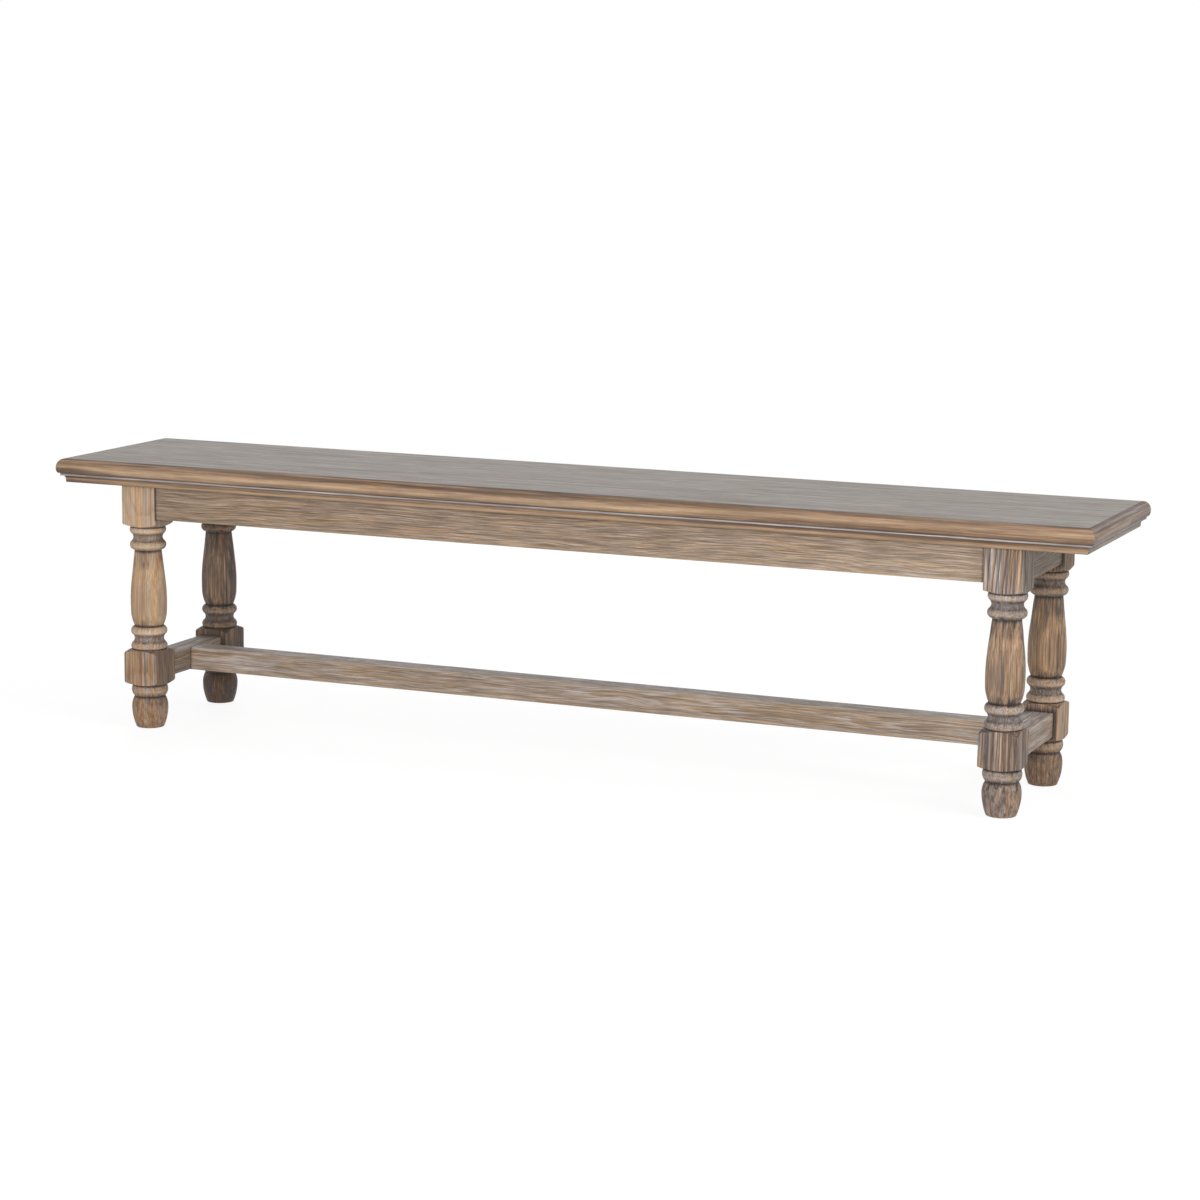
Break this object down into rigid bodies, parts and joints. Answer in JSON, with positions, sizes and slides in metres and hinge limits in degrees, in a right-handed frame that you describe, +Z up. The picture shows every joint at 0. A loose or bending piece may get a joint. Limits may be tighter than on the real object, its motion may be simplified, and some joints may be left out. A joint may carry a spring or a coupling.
{
  "type": "dining bench",
  "caption": "Long backless dining bench: flat plank seat with rounded nosing and coved moulding, plain aprons, turned legs with square blocks, and an H stretcher.",
  "frame": {"origin": "on the floor, under the middle of the seat", "axes": "+X along the bench, -Y towards its front, +Z up"},
  "size_m": [1.7856, 0.3506, 0.457],
  "materials": {
    "seat_wood": "weathered grey-brown, satin",
    "edge_wood": "weathered warm brown, satin",
    "leg_wood": "wire-brushed grey-brown",
    "rail_wood": "weathered grey-brown",
    "inner_wood": "bare sawn wood",
    "screw_steel": "zinc plated",
    "glide_plastic": "dark nylon"
  },
  "bodies": {
    "root": {"bearer_screws": "screw_steel", "bed_moulding_front": "edge_wood", "bed_moulding_left": "edge_wood", "bed_moulding_rear": "edge_wood", "bed_moulding_right": "edge_wood", "corner_block_front_left": "inner_wood", "corner_block_front_right": "inner_wood", "corner_block_rear_left": "inner_wood", "corner_block_rear_right": "inner_wood", "corner_block_screws": "screw_steel", "edge_nosing_front": "edge_wood", "edge_nosing_left": "edge_wood", "edge_nosing_rear": "edge_wood", "edge_nosing_right": "edge_wood", "foot_glide_front_left": "glide_plastic", "foot_glide_front_right": "glide_plastic", "foot_glide_rear_left": "glide_plastic", "foot_glide_rear_right": "glide_plastic", "front_apron": "rail_wood", "left_apron": "rail_wood", "left_cross_stretcher": "rail_wood", "leg_front_left": "leg_wood", "leg_front_right": "leg_wood", "leg_rear_left": "leg_wood", "leg_rear_right": "leg_wood", "long_stretcher": "rail_wood", "rear_apron": "rail_wood", "right_apron": "rail_wood", "right_cross_stretcher": "rail_wood", "seat_bearer_left": "inner_wood", "seat_bearer_middle": "inner_wood", "seat_bearer_right": "inner_wood", "seat_board_front": "seat_wood", "seat_board_middle": "seat_wood", "seat_board_rear": "seat_wood", "seat_screws": "screw_steel"}
  },
  "joints": []
}
